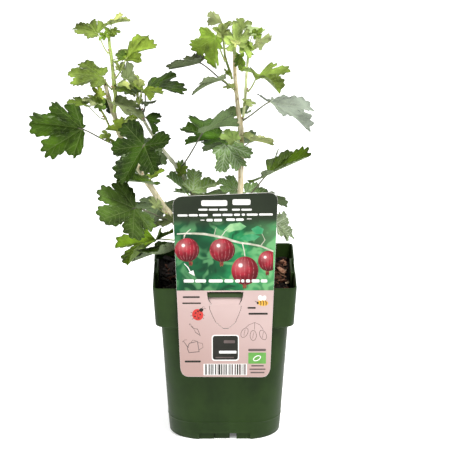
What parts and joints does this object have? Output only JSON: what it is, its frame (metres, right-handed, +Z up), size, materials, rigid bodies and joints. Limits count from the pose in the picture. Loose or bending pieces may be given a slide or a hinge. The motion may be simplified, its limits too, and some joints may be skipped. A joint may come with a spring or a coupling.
{
  "type": "potted gooseberry bush",
  "caption": "Young gooseberry bush with woody canes and lobed, toothed leaves, growing in a square tapered nursery pot with a clip-on plant label.",
  "frame": {"origin": "centre of the pot's foot, on the plane it stands on", "axes": "+Z up along the plant, -Y towards the side that carries the label, +X to the viewer's right when facing the label"},
  "size_m": [0.2537, 0.1753, 0.3922],
  "materials": {
    "pot": "dark green moulded plastic, slightly satin",
    "soil": "dark moist potting soil with bark, rough",
    "label_card": "thin printed card, satin",
    "bark": "thin tan bark, matt, with lengthwise streaks",
    "green_stem": "soft green shoot, satin",
    "leaf_dark": "old leaf, dark green, satin, veined",
    "leaf_green": "grown leaf, mid green, satin, veined",
    "leaf_young": "young leaf, yellow-green, soft",
    "leaf_pale": "unfolding leaf, pale green, soft",
    "leaf_underside": "grey-green underside of a leaf, matt"
  },
  "bodies": {
    "root": {"cane_left": "bark", "cane_middle": "bark", "cane_right": "bark", "leaf_B01": "leaf_dark", "leaf_B02": "leaf_dark", "leaf_B03": "leaf_green", "leaf_B04": "leaf_dark", "leaf_B05": "leaf_dark", "leaf_B06": "leaf_green", "leaf_B07": "leaf_dark", "leaf_B08": "leaf_dark", "leaf_L01": "leaf_dark", "leaf_L03": "leaf_green", "leaf_L04": "leaf_young", "leaf_L05": "leaf_young", "leaf_L06": "leaf_young", "leaf_L07": "leaf_pale", "leaf_L08": "leaf_pale", "leaf_L09": "leaf_dark", "leaf_L10": "leaf_dark", "leaf_L12": "leaf_underside", "leaf_L13": "leaf_dark", "leaf_L14": "leaf_young", "leaf_L15": "leaf_dark", "leaf_L16": "leaf_dark", "leaf_L17": "leaf_dark", "leaf_L18": "leaf_young", "leaf_L19": "leaf_dark", "leaf_R01": "leaf_young", "leaf_R04": "leaf_young", "leaf_R05": "leaf_young", "leaf_R06": "leaf_pale", "leaf_R07": "leaf_dark", "leaf_R08": "leaf_green", "leaf_R09": "leaf_young", "leaf_R10": "leaf_underside", "leaf_R12": "leaf_dark", "leaf_R13": "leaf_dark", "leaf_R14": "leaf_pale", "leaf_R16": "leaf_young", "leaf_R17": "leaf_dark", "leaf_R18": "leaf_green", "leaf_R18b": "leaf_green", "leaf_R19": "leaf_green", "leaf_R20": "leaf_green", "leaf_R21": "leaf_underside", "plant_label": "label_card", "pot": "pot", "shoot_centre": "green_stem", "shoot_left": "green_stem", "shoot_right": "green_stem", "side_shoot_left": "green_stem", "soil": "soil"}
  },
  "joints": []
}
